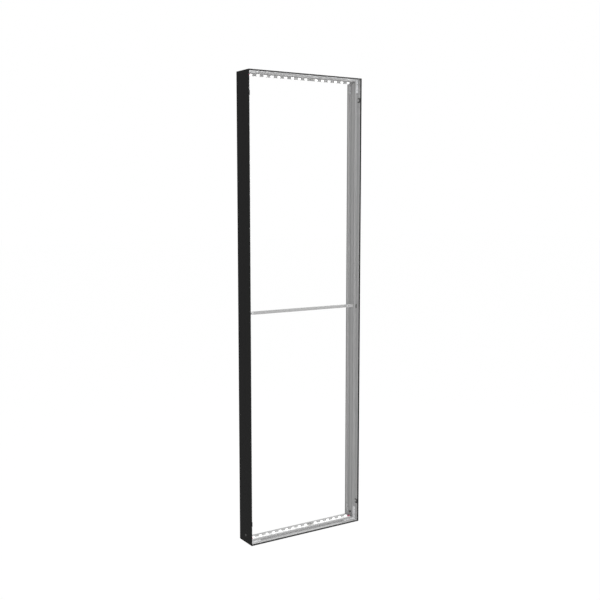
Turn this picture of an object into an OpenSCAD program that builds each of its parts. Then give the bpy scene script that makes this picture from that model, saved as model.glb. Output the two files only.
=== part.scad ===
// Wall-mounted display frame with edge lighting: a tall, open, mitred frame of one aluminium
// extrusion, black outside and bare inside. Light bars sit on the top and bottom rails, and a
// brace across the middle slides up and down the two posts.
//
// Axes: X to the right, Z up, and Y back to the wall. The wall plane is Y = 0, the front of the
// frame is at -frame_d, and the bottom of the frame is Z = 0.
// The extrusion is drawn in u, the distance in from the outer face, and v, the distance back
// from the front.

/* [Frame] */
// Overall width
frame_w = 700; // [500:10:1200]
// Overall height
frame_h = 2480; // [1200:10:3000]
// Overall depth, front to wall
frame_d = 130; // [120:1:160]

/* [Extrusion] */
// Thickness of the outer wall
wall_t = 2.5; // [2:0.1:3]
// Depth of the lip in front of the fabric groove
lip_d = 7; // [5:0.5:9]
// Width of the groove that takes the fabric's edge strip
groove_w = 3.5; // [3:0.1:4]
// Depth of the groove behind the lip
groove_d = 12.9; // [11:0.1:14]
// Thickness of the flange and of the thin webs
flange_t = 1.6; // [1.2:0.1:2]
// How far the flange overhangs the bracket channel
overhang = 1.5; // [1:0.1:2]
// Width of the raised seat down the middle
seat_w = 40; // [36:1:46]
// Height of the raised seat above the outer face
seat_u = 12; // [11:0.5:14]
// Wall thickness of the raised seat
seat_t = 1.8; // [1.5:0.1:2]
// Spacing of the two snap grooves in the seat
snap_gap = 26; // [24:1:28]
// Width of a snap groove
snap_w = 2; // [1.6:0.1:2.4]
// Depth of a snap groove
snap_d = 2.6; // [2.2:0.1:3]

/* [Corner brackets] */
// Thickness of a bracket
bracket_t = 3; // [2.5:0.1:3.2]
// Reach of a bracket arm from the outer face
bracket_reach = 75; // [60:1:90]
// Outer bend radius of a bracket
bracket_r = 5; // [4:0.5:6]
// Clearance of a bracket in its channel, each side
bracket_clear = 0.3; // [0.2:0.1:0.5]
// Diameter of the clamping grub screws
grub_d = 5; // [4:0.5:6]
// Hexagon size of the grub screws, across flats
grub_hex = 2.5; // [2:0.5:3]

/* [Light bars] */
// Lights per metre of board
lights_per_m = 24; // [20:1:30]
// Lights on the long board
long_lights = 9; // [5:1:9]
// Least clearance at each end of the row of boards, for the wires
row_margin = 10; // [8:1:12]
// Gap between the two boards
board_gap = 23.5; // [20:0.5:30]
// Width of a board
board_w = 19.5; // [17:0.5:20]
// Thickness of a board
board_t = 1; // [0.8:0.1:1.6]
// Thickness of the carrier's base
carrier_t = 1.2; // [1:0.1:1.6]
// Height of the carrier's rear fin above the seat
fin_h = 13; // [10:0.5:15]
// Thickness of the rear fin
fin_t = 2; // [1.5:0.1:2.5]
// Height of the carrier's front rim above the seat
rim_h = 5.5; // [4:0.5:7]
// Length of a lens
lens_l = 16; // [13:0.5:18]
// Width of a lens
lens_w = 10; // [8:0.5:11]
// Height of a lens
lens_h = 12; // [10:0.5:13]
// Size of a light chip
chip_w = 3.5; // [2.8:0.1:4]
// Height of a light chip
chip_h = 0.8; // [0.5:0.1:1]

/* [Brace] */
// Drop of the brace's middle below the middle of the frame
brace_drop = 3; // [-300:1:300]
// Depth of the brace tube, front to back
brace_d = 20; // [16:1:22]
// Height of the brace tube
brace_h = 15; // [13:1:18]
// Wall thickness of the brace tube
brace_t = 1.5; // [1.2:0.1:2]
// Length of a lock block, past its foot
block_l = 35; // [32:1:45]
// Length of the lock block's spigot in the tube
spigot_l = 25; // [18:1:32]
// Thickness of the lock block's foot
foot_t = 3; // [2.5:0.5:4]
// Width of the lock block's foot
foot_w = 34; // [32:1:36]
// Distance of the lock screw from the post
lock_x = 25; // [18:1:28]
// Diameter of the lock screw's head
lock_d = 9; // [7:0.5:10]
// Running clearance of the brace on the posts
slide_clear = 0.2; // [0.1:0.05:0.3]

/* [Power] */
// Height of the power sockets above the bottom of the frame
socket_z = 40; // [36:1:46]
// Diameter of a socket's flange
socket_flange_d = 13; // [12:0.5:14]
// Thickness of a socket's flange, let in flush
socket_flange_t = 1; // [0.8:0.1:1.2]
// Diameter of a socket's barrel
socket_d = 8; // [7.5:0.5:9]
// Bore of a socket
socket_bore = 5.6; // [5.5:0.1:6]
// Depth of a socket's bore
socket_depth = 9; // [7:0.5:10]
// Diameter of the access hole in the seat behind a socket
access_d = 13; // [12:0.5:15]
// Diameter of a single wire
wire_d = 2; // [1.6:0.1:2.4]
// Diameter of the lead that climbs the left post
riser_d = 4; // [3:0.5:4]
// Height of the hole where that lead enters and leaves the post, from each end
riser_z = 80; // [70:1:100]

/* [Clips and hooks] */
// Height of an edge clip
clip_h = 24; // [18:1:28]
// Thickness of an edge clip over the flange
clip_t = 1.2; // [1:0.1:2]
// Thickness of an edge clip's nose, round the flange's front edge
clip_nose = 1; // [0.8:0.1:1.5]
// Distance of the edge clips from each end of a post
clip_z = 116; // [95:1:150]
// Height of the spare nut in a post's front channel
nut_h = 22; // [18:1:26]
// Width of a wall hook
hook_w = 60; // [50:1:80]
// Distance of a wall hook's middle from the side of the frame
hook_inset = 150; // [110:5:180]
// Thickness of a wall hook
hook_t = 2.5; // [2:0.1:3]
// Drop of a wall hook's leg below the top face
hook_drop = 16; // [15:0.5:18]
// Spacing of the two screw holes in a wall hook
hook_holes = 36; // [30:1:40]
// Diameter of a wall hook's screw holes
hook_hole_d = 4.5; // [4:0.1:5]

/* [Hidden] */
$fn = 48;
eps = 0.05;
// Close fit, free fit, and how far a cut runs past a face
fit = 0.1;
free = 0.5;
past = 1;

// Finishes
coat = "#242424";
bare = "#b4b6b7";
bright = "#d6d8d9";
white = "#f6f6f4";
black = "#1b1b1b";
red = "#b3202c";
grey = "#8a8a8a";

// Extrusion levels: u of the flange and v of the channel and the seat
flange_u = wall_t + groove_w;
web_v = lip_d + groove_d;
channel_v = web_v + flange_t;
flange_end = channel_v + overhang;
mid_v = frame_d / 2;
seat_v = mid_v - seat_w / 2;
snap_v = mid_v - snap_gap / 2;
mitre = 2 * seat_u;
inner_w = frame_w - 2 * seat_u;

// Bracket, pressed up under the flanges by its grub screws
bracket_u = flange_u - bracket_t;
bracket_w = seat_v - channel_v - 2 * bracket_clear;
bracket_v = channel_v + bracket_clear;
grub_at = [0.4 * bracket_reach, 0.78 * bracket_reach];

// Light bars: the boards sit against the fin, and the row is centred in the frame
pitch = 1000 / lights_per_m;
long_l = long_lights * pitch;
short_lights = floor((inner_w - 2 * row_margin - long_l - board_gap) / pitch);
short_l = short_lights * pitch;
row_l = long_l + board_gap + short_l;
carrier_l = inner_w - 4 * free;
carrier_w = snap_gap + 2 * seat_t;
leg_t = snap_w - 2 * slide_clear;
board_v = snap_v + 3 * fit;
fin_v = board_v + board_w + 2 * fit;
board_u = seat_u + carrier_t;
lens_u = board_u + board_t;
lens_v = board_v + board_w / 2;
long_x = -row_l / 2;
short_x = row_l / 2 - short_l;

// Connectors and plugs of the wiring
plug_l = 10;
plug_w = 8;
plug_h = 7;
plug_bore = 1.2;
plug_x = -row_l / 2 + plug_bore - fit;
plug_chamfer = 0.8;
latch_h = 0.8;
jumper_h = 3;
tag_l = 2.5;
tag_t = 0.8;
tag_gap = 4;
barrel_end = seat_u + past;
hex_nut_wall = 1.75;
hex_nut_d = socket_d + 2 * hex_nut_wall;
hex_nut_h = 2;

// Brace between the posts
brace_z = frame_h / 2 - brace_drop;
foot_x = inner_w / 2 - slide_clear;
tube_l = 2 * (foot_x - foot_t - block_l);
leg_d = snap_d - 2 * slide_clear;

// Placing: everything is drawn on the bottom rail or the left post and mirrored from there.

// Keeps the left half, or mirrors it to the right
module at_side(side) {
    mirror([side == "right" ? 1 : 0, 0, 0]) children();
}

// Keeps the bottom, or mirrors it to the top
module at_end(end) {
    translate([0, 0, end == "top" ? frame_h : 0])
        mirror([0, 0, end == "top" ? 1 : 0])
            children();
}

// Keeps the front half of the depth, or mirrors it to the rear half
module at_face(face) {
    translate([0, face == "rear" ? -frame_d : 0, 0])
        mirror([0, face == "rear" ? 1 : 0, 0])
            children();
}

// Stands a drawing in u and v on the bottom rail, run along X for a length
module along_rail(length) {
    translate([length / 2, -frame_d, 0])
        rotate([0, -90, 0])
            linear_extrude(length)
                children();
}

// A cylinder along X into the left post from its outer face
module bore_x(d, from, to, z, v = mid_v) {
    translate([-frame_w / 2 + from, v - frame_d, z])
        rotate([0, 90, 0])
            cylinder(d = d, h = to - from);
}

// Extrusion

// Front half of the section inside the outer wall: flange, web, seat and snap groove
module half_ribs() {
    translate([flange_u, lip_d])
        square([flange_t, flange_end - lip_d]);
    translate([wall_t - eps, web_v])
        square([groove_w + flange_t + eps, flange_t]);
    translate([flange_u, seat_v - overhang])
        square([flange_t, overhang + eps]);
    translate([wall_t - eps, seat_v])
        square([seat_u - wall_t + eps, seat_t]);
    difference() {
        union() {
            translate([seat_u - seat_t, seat_v])
                square([seat_t, seat_w / 2 + eps]);
            translate([seat_u - snap_d - seat_t, snap_v - snap_w / 2 - seat_t])
                square([snap_d + seat_t, snap_w + 2 * seat_t]);
        }
        translate([seat_u - snap_d, snap_v - snap_w / 2])
            square([snap_d + eps, snap_w]);
    }
}

module ribs() {
    half_ribs();
    translate([0, frame_d])
        mirror([0, 1])
            half_ribs();
}

module skin() {
    square([wall_t, frame_d]);
}

// A post or rail cut to 45 degrees at both ends: the black outer wall and the bare ribs
module mitre_cut(length) {
    intersection() {
        children();
        rotate([90, 0, 0])
            linear_extrude(frame_d)
                polygon([[0, 0], [length, 0], [length - mitre, mitre], [mitre, mitre]]);
    }
}

module rail_bar(length) {
    translate([-length / 2, 0, 0]) {
        color(coat)
            mitre_cut(length) translate([length / 2, 0, 0]) along_rail(length) skin();
        color(bare)
            mitre_cut(length) translate([length / 2, 0, 0]) along_rail(length) ribs();
    }
}

// The left post is a rail of the frame's height stood on end
module post_bar() {
    translate([-frame_w / 2, 0, frame_h / 2])
        rotate([0, 90, 0])
            rail_bar(frame_h);
}

// The socket's flush seat, barrel hole and access hole
module socket_holes() {
    bore_x(socket_flange_d + 2 * fit, -past, socket_flange_t, socket_z);
    bore_x(socket_d + 2 * fit, -past, wall_t + past, socket_z);
    bore_x(access_d, wall_t + past, seat_u + past, socket_z);
}

module riser_holes() {
    for (end = ["bottom", "top"])
        at_end(end)
            bore_x(riser_d + 2 * seat_t, wall_t + past, seat_u + past, riser_z);
}

module left_post() {
    difference() {
        post_bar();
        socket_holes();
        riser_holes();
    }
}

module right_post() {
    at_side("right")
        difference() {
            post_bar();
            socket_holes();
        }
}

module top_rail() {
    at_end("top") rail_bar(frame_w);
}

module bottom_rail() {
    rail_bar(frame_w);
}

// Corner brackets: a bent strip in the channel of both bars, clamped by grub screws

module bracket_outline() {
    difference() {
        translate([bracket_u, bracket_u])
            square(bracket_reach - bracket_u);
        translate([flange_u, flange_u])
            square(bracket_reach);
        translate([bracket_u, bracket_u])
            difference() {
                square(bracket_r);
                translate([bracket_r, bracket_r]) circle(bracket_r);
            }
    }
}

// The inner bend radius, which fits between the two overhangs
module bend_outline() {
    r = bracket_r - bracket_t;
    translate([flange_u - eps, flange_u - eps])
        difference() {
            square(r + eps);
            translate([r + eps, r + eps]) circle(r);
        }
}

// Runs an outline of the lower left bracket across its channel, less an inset at each side
module across_channel(inset) {
    translate([-frame_w / 2, seat_v - inset - frame_d, 0])
        rotate([90, 0, 0])
            linear_extrude(seat_v - channel_v - 2 * inset)
                children();
}

// Puts a piece that is drawn upright at each screw of the lower left bracket, in u
module at_grubs() {
    bracket_mid = bracket_v + bracket_w / 2 - frame_d;
    for (a = grub_at) {
        translate([-frame_w / 2 + a, bracket_mid, 0]) children();
        translate([-frame_w / 2, bracket_mid, a]) rotate([0, 90, 0]) children();
    }
}

module bracket(face, end, side) {
    color(face == "front" ? bright : bare)
        at_face(face) at_end(end) at_side(side)
            difference() {
                union() {
                    across_channel(bracket_clear) bracket_outline();
                    across_channel(overhang + bracket_clear) bend_outline();
                }
                at_grubs()
                    cylinder(d = grub_d + 2 * fit, h = 2 * seat_u);
            }
}

module bracket_front_top_left() { bracket("front", "top", "left"); }
module bracket_front_top_right() { bracket("front", "top", "right"); }
module bracket_front_bottom_left() { bracket("front", "bottom", "left"); }
module bracket_front_bottom_right() { bracket("front", "bottom", "right"); }
module bracket_rear_top_left() { bracket("rear", "top", "left"); }
module bracket_rear_top_right() { bracket("rear", "top", "right"); }
module bracket_rear_bottom_left() { bracket("rear", "bottom", "left"); }
module bracket_rear_bottom_right() { bracket("rear", "bottom", "right"); }

// A grub screw from the outer wall to the top of the bracket, with its hexagon socket
module grub_screw() {
    translate([0, 0, wall_t])
        difference() {
            cylinder(d = grub_d, h = flange_u - wall_t);
            translate([0, 0, bracket_t / 2])
                cylinder(d = grub_hex / cos(30), h = flange_u, $fn = 6);
        }
}

module grub_screws() {
    color(black)
        for (face = ["front", "rear"], end = ["bottom", "top"], side = ["left", "right"])
            at_face(face) at_end(end) at_side(side)
                at_grubs() grub_screw();
}

// Light bars

// Carrier section: base on the seat, two snap legs in the grooves and the fin behind the boards
module carrier_section() {
    translate([seat_u, mid_v - carrier_w / 2])
        square([carrier_t, carrier_w]);
    for (v = [snap_v, frame_d - snap_v])
        translate([seat_u - leg_d, v - leg_t / 2])
            square([leg_d + eps, leg_t]);
    translate([seat_u, fin_v])
        square([fin_h - fin_t / 2, fin_t]);
    translate([seat_u + fin_h - fin_t / 2, fin_v + fin_t / 2])
        circle(d = fin_t);
}

// The low rim in front of the boards, which leaves the carrier's ends open for the wires
module rim_section() {
    translate([seat_u, snap_v - seat_t])
        square([rim_h, seat_t]);
}

module carrier(end) {
    color(bare)
        at_end(end) {
            along_rail(carrier_l) carrier_section();
            along_rail(row_l) rim_section();
        }
}

module led_carrier_top() { carrier("top"); }
module led_carrier_bottom() { carrier("bottom"); }

module board(end, x, lights) {
    color(white)
        at_end(end)
            translate([x, board_v - frame_d, board_u])
                cube([lights * pitch, board_w, board_t]);
}

module led_board_top_long() { board("top", long_x, long_lights); }
module led_board_top_short() { board("top", short_x, short_lights); }
module led_board_bottom_long() { board("bottom", long_x, long_lights); }
module led_board_bottom_short() { board("bottom", short_x, short_lights); }

// Puts a piece at each light of a board, standing on the board
module at_lights(end, x, lights) {
    at_end(end)
        for (i = [0 : lights - 1])
            translate([x + (i + 0.5) * pitch, lens_v - frame_d, lens_u])
                children();
}

// Half of the lens's width in section: a straight side below a round crown
module lens_half() {
    intersection() {
        union() {
            square([lens_w / 2, lens_h - lens_w / 2]);
            translate([0, lens_h - lens_w / 2]) circle(lens_w / 2);
        }
        square([lens_w, lens_h]);
    }
}

// An oblong dome: the section run along the middle and turned round at each end
module lens() {
    middle = lens_l - lens_w;
    difference() {
        union() {
            translate([-middle / 2, 0, 0])
                rotate([90, 0, 90])
                    linear_extrude(middle)
                        for (s = [0, 1])
                            mirror([s, 0]) lens_half();
            for (s = [0, 1])
                mirror([s, 0, 0])
                    translate([middle / 2, 0, 0])
                        rotate_extrude() lens_half();
        }
        translate([0, 0, chip_h / 2])
            cube([chip_w, chip_w, chip_h] + [2, 2, 2] * free, center = true);
    }
}

module lenses(end, x, lights) {
    color(white)
        at_lights(end, x, lights) lens();
}

module led_lenses_top_long() { lenses("top", long_x, long_lights); }
module led_lenses_top_short() { lenses("top", short_x, short_lights); }
module led_lenses_bottom_long() { lenses("bottom", long_x, long_lights); }
module led_lenses_bottom_short() { lenses("bottom", short_x, short_lights); }

module chip() {
    translate([-chip_w / 2, -chip_w / 2, 0])
        cube([chip_w, chip_w, chip_h]);
}

module chips(end) {
    color("gold") {
        at_lights(end, long_x, long_lights) chip();
        at_lights(end, short_x, short_lights) chip();
    }
}

module led_chips_top() { chips("top"); }
module led_chips_bottom() { chips("bottom"); }

// The link between the two boards: a plug on each board's end and two wires across the gap
module board_jumper(end) {
    gap_x = long_x + long_l;
    color(white)
        at_end(end)
            translate([gap_x, lens_v - frame_d, lens_u]) {
                for (x = [-plug_w, board_gap])
                    translate([x, -plug_l / 2, 0])
                        cube([plug_w, plug_l, jumper_h]);
                for (y = [-wire_d, wire_d])
                    translate([-eps, y, jumper_h / 2])
                        rotate([0, 90, 0])
                            cylinder(d = wire_d, h = board_gap + 2 * eps);
            }
}

module board_jumper_top() { board_jumper("top"); }
module board_jumper_bottom() { board_jumper("bottom"); }

// Power: a flush socket in each post, wired to the end of the light bar beside it

// A plug on the outer end of a board, in front of its last lens: a housing with chamfered top edges,
// a latch ramp, and a bore for each lead at its share of the width
module wire_plug(end, side, lead_d, shares) {
    color(red)
        at_end(end) at_side(side)
            translate([-row_l / 2, board_v - frame_d, lens_u])
                difference() {
                    union() {
                        rotate([90, 0, 90])
                            linear_extrude(plug_l)
                                plug_outline();
                        translate([plug_l / 4, plug_w * 2 / 3, plug_h - eps])
                            rotate([90, 0, 0])
                                linear_extrude(plug_w / 3)
                                    polygon([[0, 0], [plug_l / 2, 0], [plug_l / 2, latch_h]]);
                    }
                    for (share = shares)
                        translate([-past, plug_w * share, plug_h / 2])
                            rotate([0, 90, 0])
                                cylinder(d = lead_d + 4 * fit, h = plug_bore + past);
                }
}

module plug_outline() {
    side_h = plug_h - plug_chamfer;
    polygon([
        [0, 0], [plug_w, 0], [plug_w, side_h], [plug_w - plug_chamfer, plug_h],
        [plug_chamfer, plug_h], [0, side_h]
    ]);
}

module wire_plug_bottom_right() { wire_plug("bottom", "right", wire_d, [0.25, 0.75]); }
module wire_plug_bottom_left() { wire_plug("bottom", "left", wire_d, [0.25, 0.75]); }
module wire_plug_top_left() { wire_plug("top", "left", riser_d, [0.5]); }

module power_socket(side) {
    color(black)
        at_side(side)
            difference() {
                union() {
                    bore_x(socket_flange_d, 0, socket_flange_t, socket_z);
                    bore_x(socket_d, socket_flange_t / 2, barrel_end, socket_z);
                    translate([-frame_w / 2 + barrel_end, mid_v - frame_d, socket_z])
                        for (y = [-1, 1] * tag_gap / 2)
                            translate([-tag_t, y - tag_t / 2, -wire_d / 2])
                                cube([tag_l + tag_t, tag_t, wire_d]);
                }
                difference() {
                    bore_x(socket_bore, -past, socket_depth, socket_z);
                    bore_x(wire_d, past, socket_depth + past, socket_z);
                }
            }
}

module power_socket_left() { power_socket("left"); }
module power_socket_right() { power_socket("right"); }

// Hexagon nuts that draw the sockets in against the outer wall
module socket_nuts() {
    color(bare)
        for (side = ["left", "right"])
            at_side(side)
                difference() {
                    translate([-frame_w / 2 + wall_t, mid_v - frame_d, socket_z])
                        rotate([0, 90, 0])
                            cylinder(d = hex_nut_d, h = hex_nut_h, $fn = 6);
                    bore_x(socket_d + 2 * fit, 0, seat_u, socket_z);
                }
}

// A round wire swept through a list of points, with mitred rings and closed ends
function unit(v) = v / norm(v);
function tangent(p, i) = unit(
    i == 0 ? p[1] - p[0] :
    i == len(p) - 1 ? p[i] - p[i - 1] :
    unit(p[i + 1] - p[i]) + unit(p[i] - p[i - 1]));
function side_of(t, n) = unit(n - t * (n * t));
function frames(p, i = 0, n = [0, 1, 0]) =
    i == len(p) ? [] : let (t = tangent(p, i), m = side_of(t, n))
    concat([[p[i], m, cross(t, m)]], frames(p, i + 1, m));

module wire(points, d, sides = 8) {
    rings = frames(points);
    verts = [for (f = rings, k = [0 : sides - 1])
        f[0] + d / 2 * (cos(360 * k / sides) * f[1] + sin(360 * k / sides) * f[2])];
    last = (len(rings) - 1) * sides;
    walls = [for (i = [0 : len(rings) - 2], k = [0 : sides - 1])
        let (a = i * sides + k, b = i * sides + (k + 1) % sides)
        each [[a, b + sides, b], [a, a + sides, b + sides]]];
    start_cap = [for (k = [0 : sides - 1]) k];
    end_cap = [for (k = [sides - 1 : -1 : 0]) last + k];
    polyhedron(verts, concat(walls, [start_cap, end_cap]));
}

// Points of a smooth curve from a to b, leaving along da and arriving along db
function bezier(a, da, b, db, steps = 10) = [for (i = [0 : steps])
    let (t = i / steps, s = 1 - t)
    s * s * s * a + 3 * s * s * t * (a + da) + 3 * s * t * t * (b - db) + t * t * t * b];

// A wire from the plug on the left end of the bottom board up to a tag of the socket, straight
// where it leaves the one and meets the other
module socket_wire(side, row) {
    from = [plug_x, board_v + (2 + row) * plug_w / 4 - frame_d, lens_u + plug_h / 2];
    to = [-frame_w / 2 + barrel_end + tag_l + fit, mid_v + row * tag_gap / 2 - frame_d, socket_z];
    stub = [-wire_d, 0, 0];
    lean = [-plug_w, 0, 0];
    at_side(side)
        wire(concat([from], bezier(from + stub, lean, to - stub, lean), [to]), wire_d);
}

module wire_red_right() { color(red) socket_wire("right", 1); }
module wire_grey_right() { color(grey) socket_wire("right", -1); }
module wire_red_left() { color(red) socket_wire("left", 1); }
module wire_grey_left() { color(grey) socket_wire("left", -1); }

// The lead from the left socket up inside the post to the top light bar. It goes square through
// the seat's wall at each end and turns up on both sides of it.
module riser_lead() {
    y = mid_v - frame_d;
    bend = 1.5 * riser_d;
    face_x = -inner_w / 2;
    duct_x = -frame_w / 2 + (wall_t + seat_u - seat_t) / 2;
    out_x = face_x + riser_d;
    socket = [-frame_w / 2 + barrel_end + fit, y, socket_z + riser_d / 2 + free];
    plug = [plug_x, board_v + plug_w / 2 - frame_d, frame_h - lens_u - plug_h / 2];
    stub = [wire_d / 2, 0, 0];
    low = riser_z;
    high = frame_h - riser_z;
    across = [bend / 2, 0, 0];
    up = [0, 0, bend / 2];
    color(black)
        wire(concat(
            [socket],
            bezier(socket + stub, 2 * across, [out_x, y, low - 1.5 * bend], 2 * up),
            bezier([out_x, y, low - bend], up, [face_x, y, low], -across),
            bezier([face_x - seat_t, y, low], -across, [duct_x, y, low + bend], up),
            bezier([duct_x, y, high - bend], up, [face_x - seat_t, y, high], across),
            bezier([face_x, y, high], across, [out_x, y, high + bend], up),
            bezier([out_x, y, high + 1.5 * bend], 4 * up, plug - stub, 3 * across),
            [plug]), riser_d);
}

// A rubber bush that lines the hole where the lead passes the seat's wall
module riser_grommet(end) {
    color(black)
        at_end(end)
            difference() {
                union() {
                    bore_x(riser_d + 2 * seat_t - 2 * fit, seat_u - seat_t, seat_u, riser_z);
                    bore_x(riser_d + 4 * seat_t, seat_u, seat_u + past, riser_z);
                }
                bore_x(riser_d + 2 * free, 0, 2 * seat_u, riser_z);
            }
}

module riser_grommet_bottom() { riser_grommet("bottom"); }
module riser_grommet_top() { riser_grommet("top"); }

// Brace

module brace_tube() {
    color(bare)
        translate([-tube_l / 2, mid_v - frame_d, brace_z])
            rotate([90, 0, 90])
                linear_extrude(tube_l)
                    difference() {
                        square([brace_d, brace_h], center = true);
                        square([brace_d - 2 * brace_t, brace_h - 2 * brace_t], center = true);
                    }
}

// A bar of a given section along X from the left post, at the brace's height
module brace_bar(d, h, from, to, v = mid_v) {
    translate([-foot_x + from, v - d / 2 - frame_d, brace_z - h / 2])
        cube([to - from, d, h]);
}

// The lock screw's hole, in the front of the block
module lock_bore(d, depth) {
    translate([-inner_w / 2 + lock_x, mid_v - brace_d / 2 + depth - frame_d, brace_z])
        rotate([90, 0, 0])
            cylinder(d = d, h = depth + past);
}

// Foot with two legs in the post's snap grooves, block outside and spigot inside the tube
module lock_block(side) {
    inner_d = brace_d - 2 * brace_t - 2 * fit;
    inner_h = brace_h - 2 * brace_t - 2 * fit;
    color(bright)
        at_side(side)
            difference() {
                union() {
                    brace_bar(foot_w, brace_h, 0, foot_t);
                    brace_bar(brace_d, brace_h, 0, foot_t + block_l);
                    brace_bar(inner_d, inner_h, 0, foot_t + block_l + spigot_l);
                    for (v = [snap_v, frame_d - snap_v])
                        brace_bar(leg_t, brace_h, -leg_d, foot_t, v);
                }
                lock_bore(lock_d + 2 * fit, brace_d / 2);
            }
}

module lock_block_left() { lock_block("left"); }
module lock_block_right() { lock_block("right"); }

// Cam screws that draw the legs tight, with a hexagon socket
module lock_screws() {
    color(bright)
        for (side = ["left", "right"])
            at_side(side)
                translate([-inner_w / 2 + lock_x, mid_v - frame_d, brace_z])
                    rotate([90, 0, 0])
                        difference() {
                            cylinder(d = lock_d, h = brace_d / 2 - free);
                            translate([0, 0, brace_d / 4])
                                cylinder(d = lock_d / 2, h = brace_d, $fn = 6);
                        }
}

// Clips, nuts and hooks

// A moulded spring clip pushed over the flange from the front. Its two prongs hook behind the
// flange's rear edge.
module edge_clip(end, side) {
    reach = flange_end - lip_d;
    hook_v = flange_end + fit;
    hook_l = 2 * clip_nose;
    color(black)
        at_end(end) at_side(side)
            translate([-frame_w / 2, -frame_d, clip_z - clip_h / 2])
                difference() {
                    linear_extrude(clip_h) {
                        translate([flange_u + flange_t, lip_d - clip_nose])
                            square([clip_t, hook_v + hook_l - lip_d + clip_nose]);
                        translate([flange_u, hook_v])
                            square([flange_t + eps, hook_l]);
                        translate([flange_u - clip_nose, lip_d - clip_nose])
                            square([flange_t + clip_nose + eps, clip_nose]);
                        translate([flange_u - clip_nose, lip_d - clip_nose])
                            square([clip_nose, reach / 2]);
                    }
                    translate([flange_u - eps, lip_d + reach / 4, clip_h / 4])
                        cube([flange_t + 2 * clip_t, reach, clip_h / 2]);
                }
}

module edge_clip_top_left() { edge_clip("top", "left"); }
module edge_clip_top_right() { edge_clip("top", "right"); }
module edge_clip_bottom_left() { edge_clip("bottom", "left"); }
module edge_clip_bottom_right() { edge_clip("bottom", "right"); }

// A spare fixing nut waiting in the post's front channel, under the flange
module channel_nut(side) {
    nut_w = bracket_w / 2;
    cut = nut_w / 3;
    color(black)
        at_side(side)
            difference() {
                translate([-frame_w / 2 + bracket_u, bracket_v - frame_d, brace_z - nut_h / 2])
                    rotate([90, 0, 90])
                        linear_extrude(bracket_t)
                            polygon([
                                [0, cut], [cut, 0], [nut_w, 0],
                                [nut_w, nut_h - cut], [nut_w - cut, nut_h], [0, nut_h]
                            ]);
                bore_x(grub_d, 0, seat_u, brace_z, bracket_v + nut_w / 2);
            }
}

module channel_nut_left() { channel_nut("left"); }
module channel_nut_right() { channel_nut("right"); }

// A bent steel hook on the wall whose tongue stands in the top rail's rear groove
module wall_hook(side) {
    tongue = lip_d + groove_d - flange_t;
    color(bright)
        at_side(side)
            translate([hook_inset - frame_w / 2, 0, frame_h])
                difference() {
                    union() {
                        translate([-hook_w / 2, -tongue, -wall_t - hook_t])
                            cube([hook_w, tongue, hook_t]);
                        translate([-hook_w / 2, -hook_t, -hook_drop])
                            cube([hook_w, hook_t, hook_drop - wall_t]);
                    }
                    for (x = [-1, 1] * hook_holes / 2)
                        translate([x, past, (-hook_drop - wall_t - hook_t) / 2])
                            rotate([90, 0, 0])
                                cylinder(d = hook_hole_d, h = hook_t + 2 * past);
                }
}

module wall_hook_left() { wall_hook("left"); }
module wall_hook_right() { wall_hook("right"); }

left_post();
right_post();
top_rail();
bottom_rail();
bracket_front_top_left();
bracket_front_top_right();
bracket_front_bottom_left();
bracket_front_bottom_right();
bracket_rear_top_left();
bracket_rear_top_right();
bracket_rear_bottom_left();
bracket_rear_bottom_right();
grub_screws();
led_carrier_top();
led_carrier_bottom();
led_board_top_long();
led_board_top_short();
led_board_bottom_long();
led_board_bottom_short();
led_lenses_top_long();
led_lenses_top_short();
led_lenses_bottom_long();
led_lenses_bottom_short();
led_chips_top();
led_chips_bottom();
board_jumper_top();
board_jumper_bottom();
wire_plug_bottom_right();
wire_plug_bottom_left();
wire_plug_top_left();
power_socket_left();
power_socket_right();
socket_nuts();
wire_red_right();
wire_grey_right();
wire_red_left();
wire_grey_left();
riser_lead();
riser_grommet_bottom();
riser_grommet_top();
brace_tube();
lock_block_left();
lock_block_right();
lock_screws();
edge_clip_top_left();
edge_clip_top_right();
edge_clip_bottom_left();
edge_clip_bottom_right();
channel_nut_left();
channel_nut_right();
wall_hook_left();
wall_hook_right();
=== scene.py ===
# %% [markdown]
# # A wall-mounted, edge-lit display frame
# The object is a tall open frame of one aluminium extrusion, black outside and bare inside. Rows of
# small lenses stand on the top and bottom rails and throw light across the opening, and a brace
# slides up and down between the posts. The solids come from the CAD model and stay where they are.
# This lesson gives them their finishes, and remakes in finer detail what repeats or bends: the
# lenses, the screws, the parts on the circuit boards and the wires.

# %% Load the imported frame
import math

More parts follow.
